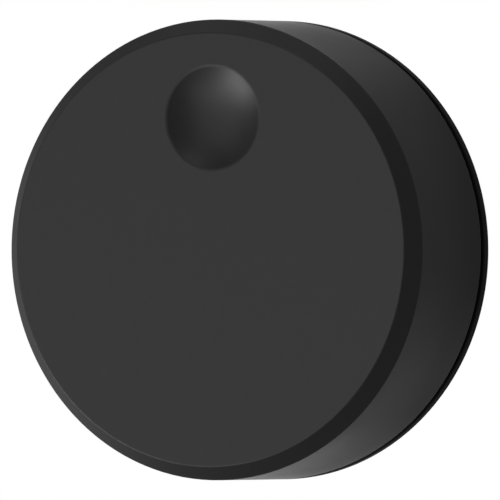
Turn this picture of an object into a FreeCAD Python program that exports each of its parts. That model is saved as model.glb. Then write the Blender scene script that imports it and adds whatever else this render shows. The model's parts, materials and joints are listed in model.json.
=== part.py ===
import FreeCAD, Part
import math
import os
import re

import Sketcher

# A round puck that is turned and pressed like a dial. It hangs on a small steel plate by magnets.
# Every piece is drawn about the local Z axis, which runs from the wall (level 0) out to the face,
# with local Y upwards. FACE_TURN then stands it up: the face looks along -Y and the wall plane is Y = 0.
# Names that end in _level are distances from the wall plane.

FACE_TURN = FreeCAD.Placement(FreeCAD.Vector(), FreeCAD.Rotation(FreeCAD.Vector(1, 0, 0), 90))
# Lengths closer than this count as equal.
TOUCH = 1e-4

DIMENSIONS = [
    ("knob_radius", 22.5, "outside radius of the knob and of the base flange"),
    ("overall_depth", 16.2, "wall plane to face"),
    ("bevel_radial", 1.325, "bevel between face and side, radial"),
    ("bevel_axial", 1.35, "bevel between face and side, axial"),
    ("skirt_wall", 1.6, "side wall of the knob"),
    ("face_wall", 1.6, "face wall of the knob"),
    ("rim_level", 1.6, "rear rim of the knob"),
    ("seat_level", 12.7, "shoulder that the carrier is pushed against"),
    ("seat_radius", 19.5, "inside radius in front of the shoulder"),
    ("dimple_offset", 12.9, "knob axis to dimple centre"),
    ("dimple_radius", 5.1, "dimple radius at the face"),
    ("dimple_depth", 1.5, "dimple depth"),
    ("dimple_boss_radius", 6.3, "thicker spot behind the dimple"),
    ("dimple_boss_level", 13.2, "rear of the thicker spot"),
    ("post_ring", 16.5, "radius on which the locating posts stand"),
    ("post_radius", 1.0, "locating post"),
    ("post_level", 11.9, "end of the locating posts"),
    ("bevel_round", 0.2, "rounding of the bevel's two edges"),
    ("dimple_round", 0.5, "rounding of the dimple's edge"),
    ("knob_rim_round", 0.5, "rounding of the knob's rear rim"),
    ("rim_round", 0.3, "rounding of the flange and of the cell's can"),
    ("edge_round", 0.12, "rounding of small edges"),
    ("carrier_level", 11.3, "rear of the carrier plate"),
    ("carrier_radius", 20.85, "carrier plate"),
    ("carrier_guide_radius", 18.6, "bore of the carrier skirt, which guides on the slider"),
    ("carrier_skirt_radius", 20.0, "outside of the carrier skirt"),
    ("carrier_skirt_level", 5.0, "rear end of the carrier skirt"),
    ("relief_width", 3.0, "relief slots in the carrier skirt"),
    ("relief_top", 7.5, "front end of the relief slots"),
    ("hub_radius", 5.6, "carrier hub"),
    ("hub_level", 13.0, "front of the carrier hub"),
    ("bush_radius", 4.4, "outside of the bush"),
    ("bush_rear", 11.1, "rear of the bush flange"),
    ("bush_flange_radius", 5.2, "bush flange"),
    ("bush_front", 13.1, "front of the bush"),
    ("running_gap", 0.05, "radial clearance of turning and sliding fits"),
    ("bite", 0.2, "how far a raised feature starts inside the wall it stands on"),
    ("wall_slot_reach", 3.0, "radial reach of a slot that is cut right through a skirt"),
    ("encoder_inner", 11.0, "inside of the encoder magnet ring"),
    ("encoder_outer", 14.0, "outside of the encoder magnet ring"),
    ("encoder_rear", 11.25, "rear of the encoder magnet ring"),
    ("encoder_front", 12.0, "front of the encoder magnet ring"),
    ("pole_count", 24, "poles of the encoder ring"),
    ("pole_notch", 0.8, "width of the notch that marks a pole"),
    ("spindle_radius", 3.0, "spindle on the slider"),
    ("spindle_level", 14.0, "end of the spindle"),
    ("spindle_bore", 1.2, "hollow core of the spindle"),
    ("clip_seat_radius", 2.4, "bottom of the clip groove"),
    ("clip_rear", 13.2, "rear of the clip"),
    ("clip_front", 13.6, "front of the clip"),
    ("clip_radius", 4.3, "outside of the clip"),
    ("clip_mouth", 3.6, "open side of the clip"),
    ("slider_level", 9.6, "rear of the slider plate"),
    ("slider_front", 10.8, "front of the slider plate"),
    ("slider_radius", 18.5, "outside of the slider skirt"),
    ("slider_bore", 17.3, "inside of the slider skirt"),
    ("slider_skirt_level", 4.0, "rear end of the slider skirt"),
    ("key_slot_width", 2.3, "slots in the slider skirt for the keys of the base"),
    ("key_slot_top", 9.0, "front end of the key slots"),
    ("hook_inner", 16.5, "tip radius of the hooks that keep the slider on the base"),
    ("hook_width", 3.0, "width of a hook"),
    ("hook_rear", 4.2, "rear of a hook"),
    ("hook_front", 4.9, "front of a hook, which stops under the window's edge"),
    ("washer_radius", 6.5, "thrust washer"),
    ("washer_front", 11.05, "front of the thrust washer"),
    ("friction_inner", 15.5, "friction ring"),
    ("friction_outer", 17.5, "friction ring"),
    ("friction_front", 11.25, "front of the friction ring"),
    ("spring_inner", 16.1, "wave spring"),
    ("spring_outer", 17.1, "wave spring"),
    ("spring_rear", 8.22, "wave spring, lowest point"),
    ("spring_front", 9.58, "wave spring, highest point"),
    ("spring_strip", 0.3, "thickness of the spring strip"),
    ("base_rear", 0.1, "rear of the base flange"),
    ("flange_front", 1.2, "front of the base flange"),
    ("recess_radius", 18.3, "recess in the base that the wall plate fits in"),
    ("floor_rear", 1.3, "bottom of that recess"),
    ("floor_front", 2.3, "front of the base floor"),
    ("neck_radius", 19.6, "step between flange and floor"),
    ("cup_outer", 17.2, "outside of the wall that the slider runs on"),
    ("cup_inner", 16.0, "inside of that wall"),
    ("cup_front", 8.2, "front of that wall"),
    ("bay_inner", 12.7, "battery bay wall, inside"),
    ("bay_outer", 13.4, "battery bay wall, outside"),
    ("bay_front", 6.5, "battery bay wall, front"),
    ("opening_radius", 11.6, "battery opening in the floor"),
    ("ring_inner", 19.45, "anti-slip ring"),
    ("ring_outer", 21.35, "anti-slip ring"),
    ("ring_depth", 0.5, "groove for the anti-slip ring"),
    ("key_radius", 17.9, "keys that stop the slider from turning"),
    ("key_width", 2.0, "width of a key"),
    ("window_width", 3.4, "windows for the hooks"),
    ("window_reach", 1.4, "radial reach of the windows, more than the wall they go through"),
    ("window_rear", 3.8, "rear edge of a window"),
    ("window_front", 4.95, "front edge of a window"),
    ("boss_ring", 14.7, "radius on which the screws, light pipe and pairing button stand"),
    ("boss_radius", 1.5, "screw boss"),
    ("pilot_radius", 0.75, "screw hole in a boss"),
    ("pilot_level", 3.8, "bottom of the screw hole"),
    ("magnet_ring", 15.2, "radius on which the magnets sit"),
    ("magnet_radius", 1.75, "holding magnet"),
    ("magnet_rear", 1.35, "rear of a magnet"),
    ("magnet_front", 2.75, "front of a magnet"),
    ("magnet_boss_radius", 2.3, "pocket wall round a magnet"),
    ("magnet_boss_level", 3.3, "front of that pocket"),
    ("pipe_radius", 0.8, "light pipe and stem of the pairing button"),
    ("pipe_collar_radius", 1.2, "their collars"),
    ("pipe_rear", 1.4, "their rear ends"),
    ("collar_thickness", 0.6, "their collars"),
    ("pipe_front", 6.0, "front end of the light pipe, just short of the status light"),
    ("button_front", 5.7, "front end of the pairing button, short of its switch"),
    ("button_gap", 0.1, "floor to the collar of the pairing button"),
    ("notch_width", 28, "angle of a bayonet notch"),
    ("lug_width", 24, "angle of a bayonet lug"),
    ("unlock_turn", 25, "turn that frees the battery cover"),
    ("cover_radius", 11.5, "battery cover"),
    ("cover_rear", 1.35, "rear of the cover"),
    ("cover_front", 2.4, "front of the cover plate"),
    ("collar_inner", 10.4, "collar of the cover, round the cell"),
    ("lug_radius", 12.6, "tip radius of a lug"),
    ("lug_gap", 0.1, "clearance between a lug and its notch"),
    ("lug_front", 3.1, "front of the lugs and the collar"),
    ("slot_width", 1.8, "coin slot"),
    ("slot_length", 15.0, "coin slot"),
    ("slot_depth", 0.6, "coin slot"),
    ("cell_radius", 10.0, "coin cell"),
    ("cell_rear", 2.5, "can side of the cell"),
    ("cell_front", 5.7, "cap side of the cell"),
    ("cell_cap_radius", 8.9, "cap of the cell"),
    ("crimp_level", 5.3, "where the can is turned in"),
    ("crimp_radius", 9.1, "inner edge of the turned-in can"),
    ("crimp_front", 5.5, "front of the turned-in can"),
    ("contact_strip", 0.2, "sheet thickness of the battery contacts"),
    ("leaf_foot", 6.5, "leaf contact: far end of its foot, from the axis"),
    ("leaf_root", 4.5, "leaf contact: where it leaves the board"),
    ("leaf_touch", 0.6, "leaf contact: where it meets the cell"),
    ("leaf_touch_level", 5.72, "leaf contact: level there"),
    ("leaf_tip", 2.2, "leaf contact: turned-up tip"),
    ("leaf_tip_level", 6.05, "leaf contact: level of the tip"),
    ("leaf_width", 3.2, "leaf contact"),
    ("side_foot", 12.4, "side contact: far end of its foot"),
    ("side_root", 10.9, "side contact: where it leaves the board"),
    ("side_bend_level", 5.6, "side contact: first bend"),
    ("side_touch", 10.03, "side contact: where it meets the can"),
    ("side_touch_level", 4.6, "side contact: level there"),
    ("side_tip", 10.6, "side contact: turned-out tip"),
    ("side_tip_level", 3.6, "side contact: level of the tip"),
    ("side_width", 4.0, "side contact"),
    ("board_radius", 15.8, "circuit board"),
    ("board_rear", 6.7, "rear of the board"),
    ("board_front", 7.7, "front of the board"),
    ("screw_radius", 0.7, "screw thread"),
    ("screw_hole_radius", 0.85, "screw holes in the board"),
    ("screw_head_radius", 1.25, "screw head"),
    ("cross_length", 1.4, "cross recess"),
    ("cross_width", 0.35, "cross recess"),
    ("cross_depth", 0.4, "cross recess"),
    ("screw_level", 4.2, "tip of the screws"),
    ("screw_head_front", 8.4, "front of the screw heads"),
    ("switch_side", 4.6, "tact switch, square"),
    ("switch_front", 9.0, "front of the tact switch"),
    ("plunger_radius", 1.2, "switch plunger"),
    ("plunger_rear", 8.5, "rear of the plunger"),
    ("plunger_bore_level", 8.1, "bottom of the plunger's bore"),
    ("shield_length", 7.0, "radio shield"),
    ("shield_height", 6.0, "radio shield"),
    ("shield_front", 9.1, "front of the radio shield"),
    ("shield_sheet", 0.2, "sheet thickness of the shield"),
    ("shield_across", -8.2, "shield centre, sideways"),
    ("shield_up", 2.5, "shield centre, upwards"),
    ("chip_side", 4.0, "radio chip, square"),
    ("chip_height", 0.8, "radio chip"),
    ("crystal_length", 2.5, "crystal"),
    ("crystal_width", 2.0, "crystal"),
    ("crystal_height", 0.6, "crystal"),
    ("crystal_up", -2.7, "crystal centre, upwards"),
    ("antenna_length", 3.2, "chip antenna"),
    ("antenna_width", 1.6, "chip antenna"),
    ("antenna_height", 0.9, "chip antenna"),
    ("antenna_across", -9.3, "antenna centre, sideways"),
    ("antenna_up", 9.8, "antenna centre, upwards"),
    ("sensor_length", 2.9, "hall sensor"),
    ("sensor_width", 1.3, "hall sensor"),
    ("sensor_height", 1.0, "hall sensor"),
    ("sensor_across", 12.5, "hall sensors, sideways, right behind the encoder ring"),
    ("sensor_up", 2.4, "hall sensors, up and down from the middle"),
    ("capacitor_length", 1.0, "ceramic capacitor"),
    ("capacitor_width", 0.5, "ceramic capacitor"),
    ("capacitor_height", 0.5, "ceramic capacitor"),
    ("capacitor_pitch", 1.8, "spacing of the capacitors"),
    ("capacitor_row", 8.0, "row of capacitors, below the middle"),
    ("led_length", 1.6, "status light"),
    ("led_width", 0.8, "status light"),
    ("led_height", 0.6, "status light"),
    ("button_width", 2.0, "switch behind the pairing button"),
    ("button_length", 2.6, "switch behind the pairing button"),
    ("button_height", 0.7, "switch behind the pairing button"),
    ("plate_radius", 18.0, "wall plate"),
    ("plate_rear", 0.4, "rear of the wall plate"),
    ("plate_front", 1.2, "front of the wall plate"),
    ("plate_round", 0.15, "rounding of the wall plate's edge"),
    ("pad_radius", 15.0, "adhesive pad"),
]

KEY_ANGLES = (90, 210, 330)
HOOK_COUNT = 3
LUG_COUNT = 3
MAGNET_ANGLES = (60, 120, 240, 300)
POST_ANGLES = (0, 180, 270)
PIPE_ANGLE = 0
BUTTON_ANGLE = 180
RELIEF_COUNT = 6
CAPACITOR_COUNT = 6
SPRING_WAVES = 3
SPRING_STATIONS = 48

doc = FreeCAD.newDocument("rotary_remote")
sheet = doc.addObject("Spreadsheet::Sheet", "dims")
for row, (alias, number, note) in enumerate(DIMENSIONS, start=1):
    sheet.set(f"A{row}", note)
    sheet.set(f"B{row}", str(number))
    sheet.setAlias(f"B{row}", alias)
doc.recompute()

ALIASES = {alias for alias, number, note in DIMENSIONS}
NODES = []


def formula(text):
    """The text as an expression that other objects can use: each alias gets the sheet's name in front."""

    def prefixed(word):
        return "dims." + word.group() if word.group() in ALIASES else word.group()

    return re.sub(r"[a-z_]+", prefixed, str(text))


def value(text):
    """The number that a formula comes to now."""
    return float(sheet.evalExpression(str(text)))


def around(ring, degrees):
    """Formulas for a point on a circle of radius `ring`."""
    return f"{ring} * cos({degrees})", f"{ring} * sin({degrees})"


def new_body(label):
    body = doc.addObject("PartDesign::Body", label)
    body.Label = label
    NODES.append(body)
    return body


def origin_feature(body, role):
    return [feature for feature in body.Origin.OriginFeatures if feature.Role == role][0]


def new_sketch(body, name, plane, level="0", turn=0):
    """A sketch on an origin plane of the body, shifted by `level` and turned about local Z."""
    sketch = body.newObject("Sketcher::SketchObject", name)
    sketch.AttachmentSupport = [(origin_feature(body, plane), "")]
    sketch.MapMode = "FlatFace"
    if turn:
        swing = FreeCAD.Rotation(FreeCAD.Vector(0, 1, 0), turn)
        sketch.AttachmentOffset = FreeCAD.Placement(FreeCAD.Vector(), swing)
    if level != "0":
        sketch.setExpression("AttachmentOffset.Base.z", formula(level))
    return sketch


def bind_point(sketch, geometry, point, across, along):
    """Ties a point of the sketch to the sheet, measured from the sketch's origin."""
    for kind, text in (("DistanceX", across), ("DistanceY", along)):
        number = sketch.addConstraint(Sketcher.Constraint(kind, -1, 1, geometry, point, value(text)))
        sketch.setExpression(f"Constraints[{number}]", formula(text))


def draw_outline(sketch, corners):
    """A closed outline of straight lines through the corners."""
    places = [FreeCAD.Vector(value(across), value(along), 0) for across, along in corners]
    first = sketch.GeometryCount
    for here, there in zip(places, places[1:] + places[:1]):
        sketch.addGeometry(Part.LineSegment(here, there), False)
    for index in range(len(corners)):
        following = first + (index + 1) % len(corners)
        sketch.addConstraint(Sketcher.Constraint("Coincident", first + index, 2, following, 1))
    for index, (across, along) in enumerate(corners):
        bind_point(sketch, first + index, 1, across, along)


def draw_circle(sketch, across, along, radius):
    centre = FreeCAD.Vector(value(across), value(along), 0)
    number = sketch.addGeometry(Part.Circle(centre, FreeCAD.Vector(0, 0, 1), value(radius)), False)
    bind_point(sketch, number, 3, across, along)
    size = sketch.addConstraint(Sketcher.Constraint("Radius", number, value(radius)))
    sketch.setExpression(f"Constraints[{size}]", formula(radius))


def draw_box(sketch, across, along, width, height):
    """A rectangle about its centre."""
    left, right = f"{across} - {width} / 2", f"{across} + {width} / 2"
    low, high = f"{along} - {height} / 2", f"{along} + {height} / 2"
    draw_outline(sketch, [(left, low), (right, low), (right, high), (left, high)])


def checked(body, feature, sign):
    """Recomputes, and makes sure that the feature added (+1) or removed (-1) something."""
    before = feature.BaseFeature.Shape.Volume if feature.BaseFeature else 0.0
    doc.recompute()
    change = (feature.Shape.Volume - before) * sign
    if change <= 0:
        raise RuntimeError(f"{body.Label}.{feature.Label} changed nothing")
    return feature


def turned(body, name, corners, sweep="360", turn=0):
    """A solid of revolution about local Z; the corners are (radius, level)."""
    sketch = new_sketch(body, name + "_profile", "XZ_Plane", turn=turn)
    draw_outline(sketch, corners)
    feature = body.newObject("PartDesign::Revolution", name)
    feature.Profile = sketch
    feature.ReferenceAxis = (sketch, ["V_Axis"])
    feature.Midplane = True
    feature.setExpression("Angle", formula(sweep))
    return checked(body, feature, 1)


def turned_cut(body, name, corners, sweep="360", turn=0):
    sketch = new_sketch(body, name + "_profile", "XZ_Plane", turn=turn)
    draw_outline(sketch, corners)
    feature = body.newObject("PartDesign::Groove", name)
    feature.Profile = sketch
    feature.ReferenceAxis = (sketch, ["V_Axis"])
    feature.Midplane = True
    feature.setExpression("Angle", formula(sweep))
    return checked(body, feature, -1)


def raised(body, name, draw, rear, front):
    """A pad of whatever `draw` puts in the sketch, between two levels."""
    sketch = new_sketch(body, name + "_sketch", "XY_Plane", rear)
    draw(sketch)
    feature = body.newObject("PartDesign::Pad", name)
    feature.Profile = sketch
    feature.setExpression("Length", formula(f"{front} - ({rear})"))
    return checked(body, feature, 1)


def cut(body, name, draw, rear, front):
    """A pocket of whatever `draw` puts in the sketch, between two levels."""
    sketch = new_sketch(body, name + "_sketch", "XY_Plane", front)
    draw(sketch)
    feature = body.newObject("PartDesign::Pocket", name)
    feature.Profile = sketch
    feature.setExpression("Length", formula(f"{front} - ({rear})"))
    return checked(body, feature, -1)


def patterned(body, feature, count):
    """Repeats a feature evenly about local Z."""
    pattern = body.newObject("PartDesign::PolarPattern", feature.Label + "_pattern")
    pattern.Originals = [feature]
    pattern.Axis = (origin_feature(body, "Z_Axis"), [""])
    pattern.Angle = 360
    pattern.Occurrences = int(count)
    body.Tip = pattern
    doc.recompute()
    return pattern


def rounded(body, name, feature, radius, rings):
    """Rounds the full circular edges that have the given (radius, level)."""
    names = []
    for number, edge in enumerate(feature.Shape.Edges, start=1):
        for ring, level in rings:
            same_radius = abs(edge.Length - 2 * math.pi * value(ring)) < TOUCH
            same_level = abs(edge.BoundBox.Center.z - value(level)) < TOUCH and edge.BoundBox.ZLength < TOUCH
            if same_radius and same_level:
                names.append(f"Edge{number}")
    if len(names) != len(rings):
        raise RuntimeError(f"{body.Label}.{name} found {len(names)} edges of {len(rings)}")
    fillet = body.newObject("PartDesign::Fillet", name)
    fillet.Base = (feature, names)
    fillet.setExpression("Radius", formula(radius))
    doc.recompute()
    return fillet


def make_knob_cap():
    """Outer shell: flat face, narrow bevel, straight side and a fingertip dimple near the rim."""
    body = new_body("knob_cap")
    bore = "knob_radius - skirt_wall"
    face_inside = "overall_depth - face_wall"
    shell = turned(body, "shell", [
        ("0", "overall_depth"),
        ("knob_radius - bevel_radial", "overall_depth"),
        ("knob_radius", "overall_depth - bevel_axial"),
        ("knob_radius", "rim_level"),
        (bore, "rim_level"),
        (bore, "seat_level"),
        ("seat_radius", "seat_level"),
        ("seat_radius", face_inside),
        ("0", face_inside),
    ])
    rounded(body, "bevel_edges", shell, "bevel_round", [
        ("knob_radius - bevel_radial", "overall_depth"),
        ("knob_radius", "overall_depth - bevel_axial"),
    ])
    rounded(body, "rim_edge", body.Tip, "knob_rim_round", [("knob_radius", "rim_level")])

    def dimple_boss(sketch):
        draw_circle(sketch, "0", "dimple_offset", "dimple_boss_radius")

    def posts(sketch):
        for angle in POST_ANGLES:
            draw_circle(sketch, *around("post_ring", angle), "post_radius")

    raised(body, "dimple_boss", dimple_boss, "dimple_boss_level", face_inside)
    raised(body, "locating_posts", posts, "post_level", face_inside)
    ball = body.newObject("PartDesign::SubtractiveSphere", "dimple")
    ball_radius = "(dimple_radius ^ 2 + dimple_depth ^ 2) / (2 * dimple_depth)"
    ball.AttachmentSupport = [(origin_feature(body, "XY_Plane"), "")]
    ball.MapMode = "FlatFace"
    # The ball's poles lie sideways, so that the dimple's floor is one even patch.
    ball.AttachmentOffset = FreeCAD.Placement(FreeCAD.Vector(), FreeCAD.Rotation(FreeCAD.Vector(1, 0, 0), 90))
    ball.setExpression("Radius", formula(ball_radius))
    ball.setExpression("AttachmentOffset.Base.y", formula("dimple_offset"))
    ball.setExpression("AttachmentOffset.Base.z", formula(f"overall_depth - dimple_depth + {ball_radius}"))
    checked(body, ball, -1)
    rounded(body, "dimple_edge", ball, "dimple_round", [("dimple_radius", "overall_depth")])


def make_knob_carrier():
    """Rotor fixed in the knob cap; it turns on the bush and is guided by the slider's skirt."""
    body = new_body("knob_carrier")
    turned(body, "rotor", [
        ("bush_radius", "carrier_level"),
        ("carrier_guide_radius", "carrier_level"),
        ("carrier_guide_radius", "carrier_skirt_level"),
        ("carrier_skirt_radius", "carrier_skirt_level"),
        ("carrier_skirt_radius", "carrier_level"),
        ("carrier_radius", "carrier_level"),
        ("carrier_radius", "seat_level"),
        ("hub_radius", "seat_level"),
        ("hub_radius", "hub_level"),
        ("bush_radius", "hub_level"),
    ])
    turned_cut(body, "encoder_seat", [
        ("encoder_inner - running_gap", "carrier_level"),
        ("encoder_outer + running_gap", "carrier_level"),
        ("encoder_outer + running_gap", "encoder_front"),
        ("encoder_inner - running_gap", "encoder_front"),
    ])

    def post_holes(sketch):
        for angle in POST_ANGLES:
            draw_circle(sketch, *around("post_ring", angle), "post_radius + running_gap")

    cut(body, "post_holes", post_holes, "carrier_level", "seat_level")
    skirt_middle = "(carrier_guide_radius + carrier_skirt_radius) / 2"

    def relief_slot(sketch):
        draw_box(sketch, "0", skirt_middle, "relief_width", "wall_slot_reach")

    relief = cut(body, "relief", relief_slot, "carrier_skirt_level", "relief_top")
    patterned(body, relief, RELIEF_COUNT)


def make_encoder_ring():
    """Multi-pole magnet ring, read through the slider by the sensors on the board."""
    body = new_body("encoder_ring")
    turned(body, "ring", [
        ("encoder_inner", "encoder_rear"),
        ("encoder_outer", "encoder_rear"),
        ("encoder_outer", "encoder_front"),
        ("encoder_inner", "encoder_front"),
    ])

    def pole_mark(sketch):
        draw_box(sketch, "0", "encoder_inner", "pole_notch", "pole_notch")

    notch = cut(body, "pole", pole_mark, "encoder_rear", "encoder_front")
    patterned(body, notch, value("pole_count"))


def make_bearing_bush():
    body = new_body("bearing_bush")
    turned(body, "bush", [
        ("spindle_radius + running_gap", "bush_rear"),
        ("bush_flange_radius", "bush_rear"),
        ("bush_flange_radius", "carrier_level"),
        ("bush_radius", "carrier_level"),
        ("bush_radius", "bush_front"),
        ("spindle_radius + running_gap", "bush_front"),
    ])


def make_retaining_clip():
    """Open ring in the spindle's groove."""
    body = new_body("retaining_clip")
    turned(body, "ring", [
        ("clip_seat_radius + running_gap", "clip_rear"),
        ("clip_radius", "clip_rear"),
        ("clip_radius", "clip_front"),
        ("clip_seat_radius + running_gap", "clip_front"),
    ])
    cut(body, "mouth", lambda sketch: draw_box(sketch, "0", "-clip_radius", "clip_mouth", "2 * clip_radius"),
        "clip_rear", "clip_front")


def make_thrust_washer():
    body = new_body("thrust_washer")
    turned(body, "washer", [
        ("spindle_radius + running_gap", "slider_front"),
        ("washer_radius", "slider_front"),
        ("washer_radius", "washer_front"),
        ("spindle_radius + running_gap", "washer_front"),
    ])


def make_friction_ring():
    body = new_body("friction_ring")
    turned(body, "ring", [
        ("friction_inner", "slider_front"),
        ("friction_outer", "slider_front"),
        ("friction_outer", "friction_front"),
        ("friction_inner", "friction_front"),
    ])


def make_press_slider():
    """Stage that moves in with the knob but can't turn: plate, spindle, keyed skirt and three hooks."""
    body = new_body("press_slider")
    turned(body, "stage", [
        ("0", "slider_level"),
        ("slider_bore", "slider_level"),
        ("slider_bore", "slider_skirt_level"),
        ("slider_radius", "slider_skirt_level"),
        ("slider_radius", "slider_front"),
        ("spindle_radius", "slider_front"),
        ("spindle_radius", "clip_rear - running_gap"),
        ("clip_seat_radius", "clip_rear - running_gap"),
        ("clip_seat_radius", "clip_front + running_gap"),
        ("spindle_radius", "clip_front + running_gap"),
        ("spindle_radius", "spindle_level"),
        ("0", "spindle_level"),
    ])

    def core(sketch):
        draw_circle(sketch, "0", "0", "spindle_bore")

    def key_slot(sketch):
        draw_box(sketch, "0", "slider_radius", "key_slot_width", "wall_slot_reach")

    def hook_block(sketch):
        root = "(slider_bore + bite)"
        draw_box(sketch, "0", f"-({root} + hook_inner) / 2", "hook_width", f"({root} - hook_inner)")

    cut(body, "core", core, "slider_front", "spindle_level")
    slot = cut(body, "key_slot", key_slot, "slider_skirt_level", "key_slot_top")
    patterned(body, slot, len(KEY_ANGLES))
    hook = raised(body, "hook", hook_block, "hook_rear", "hook_front")
    patterned(body, hook, HOOK_COUNT)


def make_return_spring():
    """Wave spring between the base wall and the slider: a thin strip that rises and falls round the ring."""
    inner, outer = value("spring_inner"), value("spring_outer")
    rear, front = value("spring_rear"), value("spring_front")
    strip = value("spring_strip")
    middle = (rear + front - strip) / 2
    swing = (front - rear - strip) / 2
    sections = []
    for station in range(SPRING_STATIONS):
        turn = 2 * math.pi * station / SPRING_STATIONS
        level = middle + swing * math.sin(SPRING_WAVES * turn)
        corners = []
        for ring, lift in ((inner, 0), (outer, 0), (outer, strip), (inner, strip)):
            corners.append(FreeCAD.Vector(ring * math.cos(turn), ring * math.sin(turn), level + lift))
        sections.append(corners)
    faces = []
    for here, there in zip(sections, sections[1:] + sections[:1]):
        for side in range(len(here)):
            other = (side + 1) % len(here)
            edges = (Part.makeLine(here[side], here[other]), Part.makeLine(there[side], there[other]))
            faces.append(Part.makeRuledSurface(*edges))
    shell = Part.makeShell(faces)
    shell.sewShape()
    spring = doc.addObject("Part::Feature", "return_spring")
    spring.Label = "return_spring"
    spring.Shape = Part.makeSolid(shell)
    NODES.append(spring)


def make_base_housing():
    """Fixed base: flange, recess for the wall plate, battery bay, wall for the slider, screw bosses."""
    body = new_body("base_housing")
    turned(body, "shell", [
        ("opening_radius", "floor_rear"),
        ("recess_radius", "floor_rear"),
        ("recess_radius", "base_rear"),
        ("knob_radius", "base_rear"),
        ("knob_radius", "flange_front"),
        ("neck_radius", "flange_front"),
        ("neck_radius", "floor_front"),
        ("cup_outer", "floor_front"),
        ("cup_outer", "cup_front"),
        ("cup_inner", "cup_front"),
        ("cup_inner", "floor_front"),
        ("bay_outer", "floor_front"),
        ("bay_outer", "bay_front"),
        ("bay_inner", "bay_front"),
        ("bay_inner", "floor_front"),
        ("opening_radius", "floor_front"),
    ])
    rounded(body, "flange_rear_edge", body.Tip, "rim_round", [("knob_radius", "base_rear")])
    rounded(body, "flange_front_edge", body.Tip, "edge_round", [("knob_radius", "flange_front")])
    turned_cut(body, "ring_groove", [
        ("ring_inner - running_gap", "base_rear"),
        ("ring_outer + running_gap", "base_rear"),
        ("ring_outer + running_gap", "base_rear + ring_depth"),
        ("ring_inner - running_gap", "base_rear + ring_depth"),
    ])

    def bosses(sketch):
        for angle in KEY_ANGLES:
            draw_circle(sketch, *around("boss_ring", angle), "boss_radius")

    def magnet_bosses(sketch):
        for angle in MAGNET_ANGLES:
            draw_circle(sketch, *around("magnet_ring", angle), "magnet_boss_radius")

    def key_rib(sketch):
        root = "(cup_outer - bite)"
        draw_box(sketch, "0", f"({root} + key_radius) / 2", "key_width", f"(key_radius - {root})")

    def hook_window(sketch):
        draw_box(sketch, "0", "-(cup_inner + cup_outer) / 2", "window_width", "window_reach")

    raised(body, "bosses", bosses, "floor_front - bite", "board_rear")
    raised(body, "magnet_bosses", magnet_bosses, "floor_front - bite", "magnet_boss_level")
    key = raised(body, "key", key_rib, "floor_front", "cup_front")
    patterned(body, key, len(KEY_ANGLES))
    window = cut(body, "window", hook_window, "window_rear", "window_front")
    patterned(body, window, HOOK_COUNT)

    def pilots(sketch):
        for angle in KEY_ANGLES:
            draw_circle(sketch, *around("boss_ring", angle), "pilot_radius")

    def magnet_pockets(sketch):
        for angle in MAGNET_ANGLES:
            draw_circle(sketch, *around("magnet_ring", angle), "magnet_radius + running_gap")

    def pipe_holes(sketch):
        for angle in (PIPE_ANGLE, BUTTON_ANGLE):
            draw_circle(sketch, *around("boss_ring", angle), "pipe_radius + running_gap")

    cut(body, "pilots", pilots, "pilot_level", "board_rear")
    cut(body, "magnet_pockets", magnet_pockets, "floor_rear", "magnet_front + running_gap")
    cut(body, "pipe_holes", pipe_holes, "floor_rear", "floor_front")
    notch = turned_cut(body, "bayonet_notch", [
        ("opening_radius - bite", "floor_rear"),
        ("lug_radius + lug_gap", "floor_rear"),
        ("lug_radius + lug_gap", "floor_front"),
        ("opening_radius - bite", "floor_front"),
    ], sweep="notch_width", turn=-value("unlock_turn"))
    patterned(body, notch, LUG_COUNT)


def make_anti_slip_ring():
    body = new_body("anti_slip_ring")
    turned(body, "ring", [
        ("ring_inner", "0"),
        ("ring_outer", "0"),
        ("ring_outer", "base_rear + ring_depth"),
        ("ring_inner", "base_rear + ring_depth"),
    ])
    rounded(body, "ring_edges", body.Tip, "edge_round", [("ring_inner", "0"), ("ring_outer", "0")])


def make_base_magnets():
    body = new_body("base_magnets")

    def discs(sketch):
        for angle in MAGNET_ANGLES:
            draw_circle(sketch, *around("magnet_ring", angle), "magnet_radius")

    raised(body, "discs", discs, "magnet_rear", "magnet_front")


def make_battery_cover():
    """Bayonet cover with a coin slot; its collar keeps the cell in place."""
    body = new_body("battery_cover")
    turned(body, "cover", [
        ("0", "cover_rear"),
        ("cover_radius", "cover_rear"),
        ("cover_radius", "lug_front"),
        ("collar_inner", "lug_front"),
        ("collar_inner", "cover_front"),
        ("0", "cover_front"),
    ])
    rounded(body, "cover_edge", body.Tip, "edge_round", [("cover_radius", "cover_rear")])
    cut(body, "coin_slot", lambda sketch: draw_box(sketch, "0", "0", "slot_length", "slot_width"),
        "cover_rear", "cover_rear + slot_depth")
    lug = turned(body, "lug", [
        ("cover_radius - bite", "cover_front"),
        ("lug_radius", "cover_front"),
        ("lug_radius", "lug_front"),
        ("cover_radius - bite", "lug_front"),
    ], sweep="lug_width")
    patterned(body, lug, LUG_COUNT)


def make_coin_cell():
    body = new_body("coin_cell")
    turned(body, "cell", [
        ("0", "cell_rear"),
        ("cell_radius", "cell_rear"),
        ("cell_radius", "crimp_level"),
        ("crimp_radius", "crimp_front"),
        ("cell_cap_radius", "cell_front"),
        ("0", "cell_front"),
    ])
    rounded(body, "can_edge", body.Tip, "rim_round", [("cell_radius", "cell_rear")])


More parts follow.
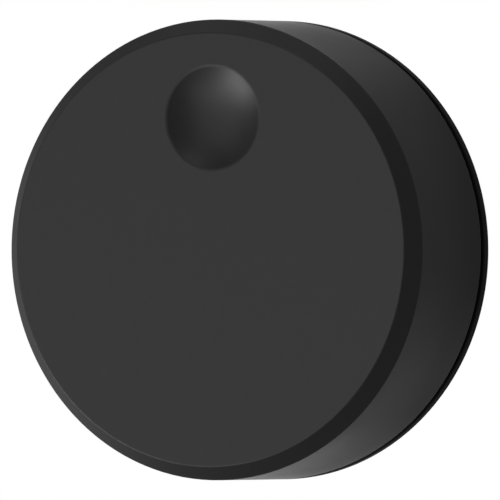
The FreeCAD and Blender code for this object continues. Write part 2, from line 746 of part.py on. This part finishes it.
def make_negative_contact():
    """Leaf spring under the board that presses on the cell's cap."""
    body = new_body("negative_contact")
    sketch = new_sketch(body, "leaf_profile", "XZ_Plane")
    draw_outline(sketch, [
        ("-leaf_foot", "board_rear"),
        ("-leaf_root", "board_rear"),
        ("leaf_touch", "leaf_touch_level + contact_strip"),
        ("leaf_tip", "leaf_tip_level + contact_strip"),
        ("leaf_tip", "leaf_tip_level"),
        ("leaf_touch", "leaf_touch_level"),
        ("-leaf_root", "board_rear - contact_strip"),
        ("-leaf_foot", "board_rear - contact_strip"),
    ])
    leaf = body.newObject("PartDesign::Pad", "leaf")
    leaf.Profile = sketch
    leaf.Midplane = True
    leaf.setExpression("Length", formula("leaf_width"))
    checked(body, leaf, 1)


def make_positive_contact():
    """Side spring that presses on the can, below the cell."""
    body = new_body("positive_contact")
    sketch = new_sketch(body, "clip_profile", "YZ_Plane")
    draw_outline(sketch, [
        ("-side_foot", "board_rear"),
        ("-side_root", "board_rear"),
        ("-side_root", "side_bend_level"),
        ("-side_touch", "side_touch_level"),
        ("-side_tip", "side_tip_level"),
        ("-side_tip - contact_strip", "side_tip_level"),
        ("-side_touch - contact_strip", "side_touch_level"),
        ("-side_root - contact_strip", "side_bend_level"),
        ("-side_root - contact_strip", "board_rear - contact_strip"),
        ("-side_foot", "board_rear - contact_strip"),
    ])
    clip = body.newObject("PartDesign::Pad", "clip")
    clip.Profile = sketch
    clip.Midplane = True
    clip.setExpression("Length", formula("side_width"))
    checked(body, clip, 1)


def make_main_pcb():
    body = new_body("main_pcb")

    def board(sketch):
        draw_circle(sketch, "0", "0", "board_radius")

    def holes(sketch):
        for angle in KEY_ANGLES:
            draw_circle(sketch, *around("boss_ring", angle), "screw_hole_radius")

    raised(body, "board", board, "board_rear", "board_front")
    cut(body, "holes", holes, "board_rear", "board_front")


def make_pcb_screws():
    """Three pan-head screws with a cross recess."""
    body = new_body("pcb_screws")

    def shanks(sketch):
        for angle in KEY_ANGLES:
            draw_circle(sketch, *around("boss_ring", angle), "screw_radius")

    def heads(sketch):
        for angle in KEY_ANGLES:
            draw_circle(sketch, *around("boss_ring", angle), "screw_head_radius")

    def long_slots(sketch):
        for angle in KEY_ANGLES:
            draw_box(sketch, *around("boss_ring", angle), "cross_length", "cross_width")

    def cross_slots(sketch):
        for angle in KEY_ANGLES:
            draw_box(sketch, *around("boss_ring", angle), "cross_width", "cross_length")

    raised(body, "shanks", shanks, "screw_level", "board_front")
    raised(body, "heads", heads, "board_front", "screw_head_front")
    cut(body, "long_slots", long_slots, "screw_head_front - cross_depth", "screw_head_front")
    cut(body, "cross_slots", cross_slots, "screw_head_front - cross_depth", "screw_head_front")


def make_tact_switch():
    body = new_body("tact_switch")
    raised(body, "case", lambda sketch: draw_box(sketch, "0", "0", "switch_side", "switch_side"),
           "board_front", "switch_front")
    cut(body, "bore", lambda sketch: draw_circle(sketch, "0", "0", "plunger_radius + running_gap"),
        "plunger_bore_level", "switch_front")


def make_switch_plunger():
    body = new_body("switch_plunger")
    raised(body, "plunger", lambda sketch: draw_circle(sketch, "0", "0", "plunger_radius"),
           "plunger_rear", "slider_level")


def make_radio_shield():
    """Folded tin can, open towards the board."""
    body = new_body("radio_shield")

    def outside(sketch):
        draw_box(sketch, "shield_across", "shield_up", "shield_length", "shield_height")

    def inside(sketch):
        length = "(shield_length - 2 * shield_sheet)"
        height = "(shield_height - 2 * shield_sheet)"
        draw_box(sketch, "shield_across", "shield_up", length, height)

    raised(body, "can", outside, "board_front", "shield_front")
    cut(body, "inside", inside, "board_front", "shield_front - shield_sheet")


def make_on_board(label, boxes, rear, front):
    """One or several box-shaped components, each given by its centre and its two sides."""
    body = new_body(label)

    def outlines(sketch):
        for box in boxes:
            draw_box(sketch, *box)

    raised(body, "package", outlines, rear, front)


def make_board_components():
    capacitors = []
    for index in range(CAPACITOR_COUNT):
        across = f"{index - (CAPACITOR_COUNT - 1) / 2} * capacitor_pitch"
        capacitors.append((across, "-capacitor_row", "capacitor_width", "capacitor_length"))
    sensors = [("sensor_across", f"{side} * sensor_up", "sensor_width", "sensor_length") for side in (1, -1)]
    led = (*around("boss_ring", PIPE_ANGLE), "led_length", "led_width")
    button = (*around("boss_ring", BUTTON_ANGLE), "button_width", "button_length")
    make_on_board("radio_chip", [("shield_across", "shield_up", "chip_side", "chip_side")],
                  "board_front", "board_front + chip_height")
    make_on_board("crystal", [("shield_across", "crystal_up", "crystal_length", "crystal_width")],
                  "board_front", "board_front + crystal_height")
    make_on_board("chip_antenna", [("antenna_across", "antenna_up", "antenna_length", "antenna_width")],
                  "board_front", "board_front + antenna_height")
    make_on_board("hall_sensors", sensors, "board_front", "board_front + sensor_height")
    make_on_board("capacitors", capacitors, "board_front", "board_front + capacitor_height")
    make_on_board("status_led", [led], "board_rear - led_height", "board_rear")
    make_on_board("pairing_switch", [button], "board_rear - button_height", "board_rear")


def make_stem(label, angle, collar_rear, front):
    """Thin round rod with a collar, through the base floor."""
    body = new_body(label)
    across, along = around("boss_ring", angle)
    collar_front = f"{collar_rear} + collar_thickness"
    raised(body, "stem", lambda sketch: draw_circle(sketch, across, along, "pipe_radius"), "pipe_rear", front)
    raised(body, "collar", lambda sketch: draw_circle(sketch, across, along, "pipe_collar_radius"),
           collar_rear, collar_front)


def make_wall_plate():
    body = new_body("wall_plate")
    turned(body, "plate", [
        ("0", "plate_rear"),
        ("plate_radius", "plate_rear"),
        ("plate_radius", "plate_front"),
        ("0", "plate_front"),
    ])
    rounded(body, "plate_edges", body.Tip, "plate_round",
            [("plate_radius", "plate_rear"), ("plate_radius", "plate_front")])


def make_adhesive_pad():
    body = new_body("adhesive_pad")
    raised(body, "pad", lambda sketch: draw_circle(sketch, "0", "0", "pad_radius"), "0", "plate_rear")


def check_document():
    """Stops if any feature failed or any piece isn't a sound solid."""
    for item in doc.Objects:
        if any(word in ("Invalid", "Error") for word in item.State):
            raise RuntimeError(f"{item.Label} is {item.State}")
    for node in NODES:
        if node.Shape.isNull() or not node.Shape.isValid() or not node.Shape.Solids:
            raise RuntimeError(f"{node.Label} has no valid solid")


make_knob_cap()
make_knob_carrier()
make_encoder_ring()
make_bearing_bush()
make_retaining_clip()
make_thrust_washer()
make_friction_ring()
make_press_slider()
make_return_spring()
make_base_housing()
make_anti_slip_ring()
make_base_magnets()
make_battery_cover()
make_coin_cell()
make_negative_contact()
make_positive_contact()
make_main_pcb()
make_pcb_screws()
make_tact_switch()
make_switch_plunger()
make_radio_shield()
make_board_components()
make_stem("light_pipe", PIPE_ANGLE, "floor_front", "pipe_front")
make_stem("pairing_button", BUTTON_ANGLE, "floor_front + button_gap", "button_front")
make_wall_plate()
make_adhesive_pad()

for node in NODES:
    node.Placement = FACE_TURN
doc.recompute()
check_document()

os.makedirs("parts", exist_ok=True)
for node in NODES:
    node.Shape.exportStep(f"parts/{node.Label}.step")
    print(f"{node.Label:18s} {len(node.Shape.Solids)} solid(s) {node.Shape.Volume:10.2f} mm3")
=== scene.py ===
import json
import math

import bpy
from mathutils import Matrix, Vector


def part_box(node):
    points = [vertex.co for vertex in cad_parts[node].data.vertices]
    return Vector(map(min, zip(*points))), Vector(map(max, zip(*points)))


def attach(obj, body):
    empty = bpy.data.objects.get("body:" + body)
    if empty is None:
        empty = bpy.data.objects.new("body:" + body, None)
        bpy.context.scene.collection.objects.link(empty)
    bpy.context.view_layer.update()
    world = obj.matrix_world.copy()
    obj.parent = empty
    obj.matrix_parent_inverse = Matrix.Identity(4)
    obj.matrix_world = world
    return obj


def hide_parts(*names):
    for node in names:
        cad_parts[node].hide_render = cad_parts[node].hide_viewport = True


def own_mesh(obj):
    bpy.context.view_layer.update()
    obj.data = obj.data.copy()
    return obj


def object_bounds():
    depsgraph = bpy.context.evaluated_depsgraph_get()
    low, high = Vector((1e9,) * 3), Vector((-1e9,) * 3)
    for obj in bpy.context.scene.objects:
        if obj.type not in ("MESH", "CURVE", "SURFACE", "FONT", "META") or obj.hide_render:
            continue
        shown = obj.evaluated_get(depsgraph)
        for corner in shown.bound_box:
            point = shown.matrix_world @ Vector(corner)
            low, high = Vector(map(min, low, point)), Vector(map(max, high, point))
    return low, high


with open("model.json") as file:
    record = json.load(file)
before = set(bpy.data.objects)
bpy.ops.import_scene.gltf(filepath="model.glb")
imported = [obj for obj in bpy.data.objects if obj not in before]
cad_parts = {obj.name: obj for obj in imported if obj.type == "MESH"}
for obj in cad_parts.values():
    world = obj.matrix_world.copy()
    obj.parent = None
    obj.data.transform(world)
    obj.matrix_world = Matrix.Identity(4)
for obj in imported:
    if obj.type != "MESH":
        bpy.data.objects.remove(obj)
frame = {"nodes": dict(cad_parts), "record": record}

# A black puck that is turned and pressed like a dial, held by magnets on a small steel wall plate.
# Its axis is the world's Y axis: the face looks along -Y and the wall plane is Y = 0. Lengths are in metres.

MM = 0.001
NODES = frame["nodes"]
CAD_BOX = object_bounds()

KNOB_LOW, KNOB_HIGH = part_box("knob_cap")
KNOB_RADIUS = (KNOB_HIGH.x - KNOB_LOW.x) / 2
FACE_Y = KNOB_LOW.y
RIM_Y = KNOB_HIGH.y
BASE_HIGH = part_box("base_housing")[1]
BEVEL_RADIAL = 1.325 * MM
BEVEL_AXIAL = 1.35 * MM
DIMPLE_UP = 12.9 * MM
DIMPLE_RADIUS = 5.1 * MM
LINER_SLIT = -4.0 * MM
SPRING_WAVES = 3
SPRING_STATIONS = 180
SPRING_WIDTH = 1.0 * MM
SPRING_STRIP = 0.3 * MM


# ---------------------------------------------------------------- shader building

class Shader:
    """A node material, built from the coordinates outwards."""

    def __init__(self, name):
        self.material = bpy.data.materials.new(name)
        self.material.use_nodes = True
        self.tree = self.material.node_tree
        self.tree.nodes.clear()
        self.output = self.add("ShaderNodeOutputMaterial")
        self.body = self.add("ShaderNodeBsdfPrincipled")
        self.tree.links.new(self.body.outputs["BSDF"], self.output.inputs["Surface"])
        self.place = self.add("ShaderNodeTexCoord").outputs["Object"]

    def add(self, kind, inputs=None, **settings):
        node = self.tree.nodes.new(kind)
        for key, setting in settings.items():
            setattr(node, key, setting)
        for key, given in (inputs or {}).items():
            self.put(node.inputs[key], given)
        return node

    def put(self, socket, given):
        if isinstance(given, bpy.types.NodeSocket):
            self.tree.links.new(given, socket)
        else:
            socket.default_value = given

    def math(self, operation, first, second=0.0):
        return self.add("ShaderNodeMath", {0: first, 1: second}, operation=operation).outputs[0]

    def noise(self, size, detail=3.0, roughness=0.55, vector=None, distortion=0.0):
        """Noise whose features are about `size` metres across; 0 to 1."""
        settings = {"Vector": vector or self.place, "Scale": 1.0 / size, "Detail": detail,
                    "Roughness": roughness, "Distortion": distortion}
        return self.add("ShaderNodeTexNoise", settings).outputs["Fac"]

    def cells(self, size):
        """Distance from the middle of the nearest of many cells about `size` metres across."""
        return self.add("ShaderNodeTexVoronoi", {"Vector": self.place, "Scale": 1 / size}).outputs["Distance"]

    def spread(self, factor, low, high, out_low=0.0, out_high=1.0):
        """Stretches low..high of the factor to out_low..out_high, held at both ends."""
        settings = {"Value": factor, "From Min": low, "From Max": high, "To Min": out_low, "To Max": out_high}
        return self.add("ShaderNodeMapRange", settings, clamp=True).outputs["Result"]

    def mix(self, factor, first, second):
        node = self.add("ShaderNodeMix", data_type="RGBA")
        self.put(node.inputs["Factor"], factor)
        self.put(node.inputs[6], first)
        self.put(node.inputs[7], second)
        return node.outputs[2]

    def bump(self, height, distance):
        inputs = {"Height": height, "Distance": distance, "Strength": 1.0}
        return self.add("ShaderNodeBump", inputs).outputs["Normal"]

    def split(self):
        """The object's x, y and z as three sockets."""
        node = self.add("ShaderNodeSeparateXYZ", {"Vector": self.place})
        return node.outputs["X"], node.outputs["Y"], node.outputs["Z"]

    def length(self, first, second):
        squares = self.math("ADD", self.math("MULTIPLY", first, first), self.math("MULTIPLY", second, second))
        return self.math("SQRT", squares)

    def radius(self, up=0.0):
        """Distance from an axis along Y that stands `up` above the knob's axis."""
        x, y, z = self.split()
        return self.length(x, self.math("SUBTRACT", z, up))

    def ring_edge(self, ring, level, width, up=0.0):
        """1 on the circular edge of that radius at that Y, falling to 0 at `width` from it."""
        x, y, z = self.split()
        across = self.math("SUBTRACT", self.radius(up), ring)
        along = self.math("SUBTRACT", y, level)
        return self.spread(self.length(across, along), 0.0, width, 1.0, 0.0)

    def finish(self, colour, roughness, normal=None, **extra):
        self.put(self.body.inputs["Base Color"], colour)
        self.put(self.body.inputs["Roughness"], roughness)
        if normal is not None:
            self.put(self.body.inputs["Normal"], normal)
        for key, given in extra.items():
            self.put(self.body.inputs[key.replace("_", " ")], given)
        return self.material


def grey(level, warmth=0.0):
    return (level * (1 + warmth), level, level * (1 - warmth), 1.0)


def scaled(colour, factor):
    return (colour[0] * factor, colour[1] * factor, colour[2] * factor, 1.0)


def moulded_plastic(name, colour, roughness, grain=0.16 * MM, relief=0.004 * MM,
                    edges=(), worn=None, specular=0.5):
    """Spark-eroded plastic: fine even grain, a faint cloudy sheen, and edges rubbed lighter and duller."""
    shader = Shader(name)
    fine = shader.noise(grain, detail=2.0, roughness=0.6)
    cloud = shader.noise(9 * MM, detail=3.0)
    speck = shader.noise(0.5 * MM, detail=2.0)
    tone = shader.mix(shader.spread(speck, 0.35, 0.65), scaled(colour, 0.94), scaled(colour, 1.06))
    shine = shader.spread(cloud, 0.3, 0.7, roughness - 0.02, roughness + 0.02)
    if edges:
        rubbed = None
        for ring, level, width, up in edges:
            mask = shader.ring_edge(ring, level, width, up)
            rubbed = mask if rubbed is None else shader.math("MAXIMUM", rubbed, mask)
        patchy = shader.spread(shader.noise(1.4 * MM, detail=4.0), 0.35, 0.7)
        rubbed = shader.math("MULTIPLY", rubbed, patchy)
        tone = shader.mix(rubbed, tone, worn or scaled(colour, 1.3))
        shine = shader.math("ADD", shine, shader.math("MULTIPLY", rubbed, 0.15))
    normal = shader.bump(fine, relief)
    return shader.finish(tone, shine, normal, Specular_IOR_Level=specular)


def rolled_metal(name, colour, roughness, streak=(1.0, 1.0, 60.0), relief=0.0015 * MM, tarnish=0.12):
    """Sheet or wire metal: long fine streaks, cloudy tarnish and small handling scratches."""
    shader = Shader(name)
    stretch = shader.add("ShaderNodeMapping", {"Vector": shader.place, "Scale": streak}).outputs["Vector"]
    lines = shader.noise(2.0 * MM, detail=5.0, roughness=0.7, vector=stretch)
    cloud = shader.noise(4 * MM, detail=4.0)
    scratch = shader.noise(0.7 * MM, detail=6.0, distortion=1.5)
    tone = shader.mix(shader.spread(cloud, 0.3, 0.75), colour, scaled(colour, 1.0 - tarnish))
    shine = shader.math("ADD", shader.spread(lines, 0.3, 0.7, roughness - 0.06, roughness + 0.08),
                        shader.spread(scratch, 0.55, 0.8, 0.0, 0.1))
    normal = shader.bump(lines, relief)
    return shader.finish(tone, shine, normal, Metallic=1.0)


def turned_metal(name, colour, roughness, pitch=0.12 * MM):
    """Metal with concentric turning marks about the object's axis."""
    shader = Shader(name)
    wave = shader.math("SINE", shader.math("MULTIPLY", shader.radius(), 2 * math.pi / pitch))
    cloud = shader.noise(3 * MM, detail=4.0)
    tone = shader.mix(shader.spread(cloud, 0.3, 0.7), colour, scaled(colour, 0.86))
    shine = shader.spread(cloud, 0.25, 0.75, roughness - 0.05, roughness + 0.08)
    normal = shader.bump(wave, 0.001 * MM)
    return shader.finish(tone, shine, normal, Metallic=1.0)


def soft_rubber(name, colour):
    """Matt rubber with a talc-like bloom and a fine pebble."""
    shader = Shader(name)
    pebble = shader.cells(0.22 * MM)
    bloom = shader.noise(2.5 * MM, detail=5.0)
    tone = shader.mix(shader.spread(bloom, 0.4, 0.75), colour, scaled(colour, 1.7))
    shine = shader.spread(bloom, 0.3, 0.7, 0.78, 0.9)
    return shader.finish(tone, shine, shader.bump(pebble, 0.006 * MM), Specular_IOR_Level=0.25)


def felt_cloth(name, colour):
    shader = Shader(name)
    fibre = shader.noise(0.12 * MM, detail=5.0, roughness=0.75, distortion=2.0)
    tone = shader.mix(fibre, scaled(colour, 0.6), scaled(colour, 1.35))
    normal = shader.bump(fibre, 0.05 * MM)
    return shader.finish(tone, 0.95, normal, Sheen_Weight=0.4)


def clear_plastic(name, colour, roughness):
    shader = Shader(name)
    haze = shader.noise(0.6 * MM, detail=3.0)
    normal = shader.bump(haze, 0.002 * MM)
    tone = shader.mix(haze, scaled(colour, 0.92), colour)
    return shader.finish(tone, shader.spread(haze, 0.3, 0.7, roughness, roughness + 0.1), normal,
                         Transmission_Weight=0.85, IOR=1.58)


def solder_mask(name, colour):
    """Green board: traces as slightly raised, lighter lines under the mask, tinned pads between them."""
    shader = Shader(name)
    facing = {"Vector": shader.place, "Rotation": (math.pi / 2, 0.0, 0.0)}
    grid = shader.add("ShaderNodeTexBrick", {
        "Vector": shader.add("ShaderNodeMapping", facing).outputs["Vector"],
        "Scale": 260.0, "Mortar Size": 0.045, "Mortar Smooth": 0.2, "Brick Width": 0.9, "Row Height": 0.28,
    }, offset=0.37, squash=1.6, squash_frequency=3)
    track = grid.outputs["Fac"]
    via = shader.cells(2.4 * MM)
    pad = shader.spread(via, 0.09, 0.12, 1.0, 0.0)
    weave = shader.noise(0.4 * MM, detail=3.0)
    mask = shader.mix(shader.spread(weave, 0.3, 0.7), scaled(colour, 0.85), scaled(colour, 1.1))
    mask = shader.mix(track, mask, scaled(colour, 1.9))
    tone = shader.mix(pad, mask, (0.62, 0.6, 0.56, 1.0))
    normal = shader.bump(shader.math("ADD", track, pad), 0.03 * MM)
    shader.put(shader.body.inputs["Metallic"], pad)
    return shader.finish(tone, shader.spread(weave, 0.3, 0.7, 0.24, 0.32), normal)


def foam_pad(name, colour):
    """Closed-cell foam tape under a slightly crinkled paper liner, which has a slit to peel it from; the slit
    is a shallow groove with painted shade along it.
    """
    shader = Shader(name)
    crease = shader.noise(5 * MM, detail=6.0, distortion=0.6)
    fibre = shader.noise(0.25 * MM, detail=4.0, roughness=0.7)
    x, y, z = shader.split()
    waver = shader.math("MULTIPLY", shader.noise(6 * MM), 0.4 * MM)
    off_slit = shader.math("ABSOLUTE", shader.math("SUBTRACT", shader.math("SUBTRACT", x, waver), LINER_SLIT))
    slit = shader.spread(off_slit, 0.05 * MM, 0.14 * MM, 1.0, 0.0)
    tone = shader.mix(shader.spread(fibre, 0.3, 0.7), scaled(colour, 0.93), colour)
    # Painted shade: the slit is drawn much darker than the liner, for the shade in the cut between its two
    # halves.
    tone = shader.mix(slit, tone, scaled(colour, 0.35))
    height = shader.math("ADD", shader.math("MULTIPLY", crease, 6.0), fibre)
    height = shader.math("SUBTRACT", height, shader.math("MULTIPLY", slit, 6.0))
    return shader.finish(tone, shader.spread(fibre, 0.3, 0.7, 0.5, 0.62), shader.bump(height, 0.012 * MM))


def ceramic(name, colour, roughness=0.35):
    shader = Shader(name)
    speck = shader.noise(0.12 * MM, detail=4.0, roughness=0.7)
    tone = shader.mix(shader.spread(speck, 0.3, 0.7), scaled(colour, 0.82), scaled(colour, 1.05))
    shine = shader.spread(speck, 0.3, 0.7, roughness, roughness + 0.12)
    return shader.finish(tone, shine, shader.bump(speck, 0.004 * MM))


def make_materials():
    knob_edges = (
        (KNOB_RADIUS - BEVEL_RADIAL, FACE_Y, 0.2 * MM, 0.0),
        (KNOB_RADIUS, FACE_Y + BEVEL_AXIAL, 0.2 * MM, 0.0),
        (KNOB_RADIUS, RIM_Y, 0.3 * MM, 0.0),
        (DIMPLE_RADIUS, FACE_Y, 0.2 * MM, DIMPLE_UP),
    )
    base_edges = ((KNOB_RADIUS, BASE_HIGH.y, 0.35 * MM, 0.0),)
    base_finish = {"edges": base_edges, "worn": grey(0.012), "specular": 0.25}
    return {
        "knob_black": moulded_plastic("knob_black", grey(0.0125), 0.42, edges=knob_edges),
        # Painted shade: the base is the same black plastic as the knob, given a darker tone and less specular
        # shine so that its flange behind the rim reads as the shaded band there.
        "base_black": moulded_plastic("base_black", grey(0.008), 0.6, **base_finish),
        "cover_black": moulded_plastic("cover_black", grey(0.018), 0.5),
        "inner_black": moulded_plastic("inner_black", grey(0.012), 0.38, grain=0.3 * MM),
        "inner_grey": moulded_plastic("inner_grey", grey(0.2), 0.42, grain=0.3 * MM),
        "button_grey": moulded_plastic("button_grey", grey(0.3), 0.45),
        "ferrite": moulded_plastic("ferrite", grey(0.03, 0.03), 0.55, grain=0.1 * MM, relief=0.01 * MM),
        "bush_pom": moulded_plastic("bush_pom", grey(0.72, 0.01), 0.3, grain=0.4 * MM),
        "washer_ptfe": moulded_plastic("washer_ptfe", grey(0.7, 0.02), 0.5, grain=0.3 * MM),
        "switch_black": moulded_plastic("switch_black", grey(0.015), 0.35, grain=0.2 * MM),
        "plunger_white": moulded_plastic("plunger_white", grey(0.7, 0.01), 0.3, grain=0.3 * MM),
        "chip_black": moulded_plastic("chip_black", grey(0.014), 0.6, grain=0.06 * MM, relief=0.006 * MM),
        "rubber_black": soft_rubber("rubber_black", grey(0.011)),
        "felt": felt_cloth("felt", grey(0.16)),
        "spring_steel": rolled_metal("spring_steel", grey(0.5), 0.28),
        "contact_metal": rolled_metal("contact_metal", (0.66, 0.56, 0.36, 1.0), 0.25),
        "screw_steel": turned_metal("screw_steel", grey(0.5), 0.3),
        "shield_tin": rolled_metal("shield_tin", grey(0.66, 0.01), 0.3, streak=(40.0, 1.0, 1.0)),
        "plate_steel": turned_metal("plate_steel", grey(0.52), 0.34, pitch=0.25 * MM),
        "magnet_nickel": turned_metal("magnet_nickel", grey(0.62, 0.03), 0.16),
        "cell_steel": turned_metal("cell_steel", grey(0.62, 0.01), 0.24, pitch=0.2 * MM),
        "board_green": solder_mask("board_green", (0.012, 0.11, 0.045, 1.0)),
        "ceramic_white": ceramic("ceramic_white", grey(0.72, 0.02)),
        "ceramic_tan": ceramic("ceramic_tan", (0.38, 0.26, 0.14, 1.0)),
        "led_clear": clear_plastic("led_clear", (0.9, 0.88, 0.7, 1.0), 0.12),
        "pipe_clear": clear_plastic("pipe_clear", (0.92, 0.94, 0.95, 1.0), 0.15),
        "pad_foam": foam_pad("pad_foam", grey(0.78, 0.01)),
    }


def dress_nodes(materials):
    """Puts each slot's material on its nodes, and keeps the CAD shapes as they are."""
    slots = {entry["node"]: entry["material_slot"] for entry in frame["record"]["subparts"]}
    for name, piece in NODES.items():
        for slot in piece.material_slots:
            slot.material = materials[slots[name]]


# ---------------------------------------------------------------- the spring

def make_return_spring(material):
    """The wave spring again, as a mesh of a waved strip; the real one flattens between base and slider as the
    knob is pressed.
    """
    low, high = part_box("return_spring")
    rings = (high.x - SPRING_WIDTH, high.x)
    middle = (low.y + high.y + SPRING_STRIP) / 2
    swing = (high.y - low.y - SPRING_STRIP) / 2
    corners, faces = [], []
    for station in range(SPRING_STATIONS):
        turn = 2 * math.pi * station / SPRING_STATIONS
        rear = middle - swing * math.sin(SPRING_WAVES * turn)
        for ring, level in zip(rings + rings[::-1], (rear, rear, rear - SPRING_STRIP, rear - SPRING_STRIP)):
            corners.append((ring * math.cos(turn), level, ring * math.sin(turn)))
        here, there = 4 * station, 4 * ((station + 1) % SPRING_STATIONS)
        for side in range(4):
            other = (side + 1) % 4
            faces.append((here + side, there + side, there + other, here + other))
    mesh = bpy.data.meshes.new("wave_spring")
    mesh.from_pydata(corners, [], faces)
    mesh.shade_smooth()
    mesh.set_sharp_from_angle(angle=math.radians(40))
    mesh.materials.append(material)
    spring = bpy.data.objects.new("wave_spring", mesh)
    bpy.context.scene.collection.objects.link(spring)
    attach(spring, "base")
    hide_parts("return_spring")
    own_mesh(spring)


# ---------------------------------------------------------------- stage, light and camera

AIM = Vector((0.0, (FACE_Y + BEVEL_AXIAL + BASE_HIGH.y) / 2, 0.0))
VIEW_AZIMUTH = math.radians(26.85)
VIEW_ELEVATION = math.radians(0.5)
VIEW_ROLL = math.radians(1.2)
VIEW_DISTANCE = 2.2
VIEW_WIDTH = 1.088 * 2 * KNOB_RADIUS
BOX_DISTANCE = 0.8
NET_GAP = 0.2 * MM
NET_WIDTH = 3.5 * MM
NET_BEHIND = 0.3 * MM
NET_STEPS = 96
NET_COVER = 0.38
WORLD_GLOW = 0.215
FLOOR_DROP = 0.06
FLOOR_REACH = 2.0
FLOOR_GLOW = 0.55
FLOOR_FADE = (0.1, 0.21)


def make_camera():
    """A long lens, so that the rims stay nearly parallel as in a product picture."""
    data = bpy.data.cameras.new("camera")
    data.sensor_width = 36.0
    data.lens = data.sensor_width * VIEW_DISTANCE / VIEW_WIDTH
    data.clip_start, data.clip_end = 0.1, 50.0
    camera = bpy.data.objects.new("camera", data)
    back = Vector((math.sin(VIEW_AZIMUTH) * math.cos(VIEW_ELEVATION),
                   -math.cos(VIEW_AZIMUTH) * math.cos(VIEW_ELEVATION),
                   math.sin(VIEW_ELEVATION)))
    camera.rotation_mode = "QUATERNION"
    turn = (-back).to_track_quat("-Z", "Y").to_matrix().to_4x4()
    place = Matrix.Translation(AIM + back * VIEW_DISTANCE)
    camera.matrix_world = place @ turn @ Matrix.Rotation(VIEW_ROLL, 4, "Z")
    bpy.context.scene.collection.objects.link(camera)
    bpy.context.scene.camera = camera


def make_soft_box(name, left, up, size, power):
    """A square soft box that shines from `left` degrees left of the front and `up` degrees above it."""
    left, up = math.radians(left), math.radians(up)
    towards = Vector((-math.sin(left) * math.cos(up), -math.cos(left) * math.cos(up), math.sin(up)))
    data = bpy.data.lights.new(name, "AREA")
    data.shape = "SQUARE"
    data.size = size
    data.energy = power
    light = bpy.data.objects.new(name, data)
    light.location = AIM + towards * BOX_DISTANCE
    light.rotation_mode = "QUATERNION"
    light.rotation_quaternion = (-towards).to_track_quat("-Z", "Y")
    bpy.context.scene.collection.objects.link(light)


def make_world():
    """White to the camera, and a dim even glow to everything else."""
    world = bpy.data.worlds.new("studio")
    world.use_nodes = True
    bpy.context.scene.world = world
    tree = world.node_tree
    tree.nodes.clear()
    output = tree.nodes.new("ShaderNodeOutputWorld")
    mixer = tree.nodes.new("ShaderNodeMixShader")
    seen = tree.nodes.new("ShaderNodeBackground")
    glow = tree.nodes.new("ShaderNodeBackground")
    path = tree.nodes.new("ShaderNodeLightPath")
    seen.inputs["Color"].default_value = (1.0, 1.0, 1.0, 1.0)
    seen.inputs["Strength"].default_value = 1.0
    glow.inputs["Color"].default_value = (1.0, 1.0, 1.0, 1.0)
    glow.inputs["Strength"].default_value = WORLD_GLOW
    tree.links.new(path.outputs["Is Camera Ray"], mixer.inputs["Fac"])
    tree.links.new(glow.outputs["Background"], mixer.inputs[1])
    tree.links.new(seen.outputs["Background"], mixer.inputs[2])
    tree.links.new(mixer.outputs["Shader"], output.inputs["Surface"])


def make_floor():
    """Plain pale floor, a little below the puck, which glows to the camera only and fades to white."""
    level = CAD_BOX[0].z - FLOOR_DROP
    corners = [(-FLOOR_REACH, -FLOOR_REACH, level), (FLOOR_REACH, -FLOOR_REACH, level),
               (FLOOR_REACH, FLOOR_REACH, level), (-FLOOR_REACH, FLOOR_REACH, level)]
    mesh = bpy.data.meshes.new("floor")
    mesh.from_pydata(corners, [], [(0, 1, 2, 3)])
    floor = bpy.data.objects.new("floor", mesh)
    bpy.context.scene.collection.objects.link(floor)
    shader = Shader("floor")
    seen = shader.add("ShaderNodeLightPath").outputs["Is Camera Ray"]
    x, y, z = shader.split()
    fade = shader.spread(shader.length(x, y), *FLOOR_FADE, FLOOR_GLOW, 1.0)
    glow = shader.math("MULTIPLY", seen, fade)
    shader.finish(grey(0.9), 0.9, Specular_IOR_Level=0.0, Emission_Color=grey(1.0), Emission_Strength=glow)
    mesh.materials.append(shader.material)
    # The boxes below the floor's level shine through it, and it throws no light back at the puck.
    floor.visible_shadow = False
    floor.visible_glossy = False
    floor.visible_diffuse = False


def make_black_net():
    """A ring of thin black net right behind the rim, which keeps some light off the rear of the side wall."""
    rings = (KNOB_RADIUS + NET_GAP, KNOB_RADIUS + NET_GAP + NET_WIDTH)
    corners = []
    for step in range(NET_STEPS):
        turn = 2 * math.pi * step / NET_STEPS
        corners += [(ring * math.cos(turn), NET_BEHIND, ring * math.sin(turn)) for ring in rings]
    count = len(corners)
    faces = [(i, i + 1, (i + 3) % count, (i + 2) % count) for i in range(0, count, 2)]
    mesh = bpy.data.meshes.new("black_net")
    mesh.from_pydata(corners, [], faces)
    net = bpy.data.objects.new("black_net", mesh)
    bpy.context.scene.collection.objects.link(net)
    thread = Shader("black_net").finish(grey(0.01), 1.0, Specular_IOR_Level=0.0, Alpha=NET_COVER)
    mesh.materials.append(thread)
    net.visible_camera = False


def make_lights():
    """Soft boxes to the left, below and behind. The right front stays dark, and so does the bevel there."""
    make_soft_box("front_left", 26, 0, 0.9, 1.4)
    make_soft_box("front_high", 0, 57, 0.4, 0.42)
    make_soft_box("low_front", 10, -30, 0.36, 0.34)
    make_soft_box("low_left", 42, -30, 0.36, 0.76)
    make_soft_box("lower_left", 70, -28, 0.36, 1.7)
    make_soft_box("left_back", 112, -8, 0.6, 0.22)
    make_soft_box("left_high", 120, 60, 0.36, 0.17)
    make_soft_box("behind", 156, 0, 0.36, 1.2)
    make_soft_box("behind_above", 158, 20, 0.36, 0.07)
    make_soft_box("behind_high", 180, 60, 0.36, 0.85)
    make_soft_box("behind_low", 160, -30, 0.36, 0.24)
    make_soft_box("behind_right", 192, -24, 0.36, 0.09)


bpy.context.scene.view_settings.view_transform = "Standard"
make_camera()
materials = make_materials()
dress_nodes(materials)
make_return_spring(materials["spring_steel"])
make_world()
make_floor()
make_black_net()
make_lights()

bpy.context.view_layer.update()
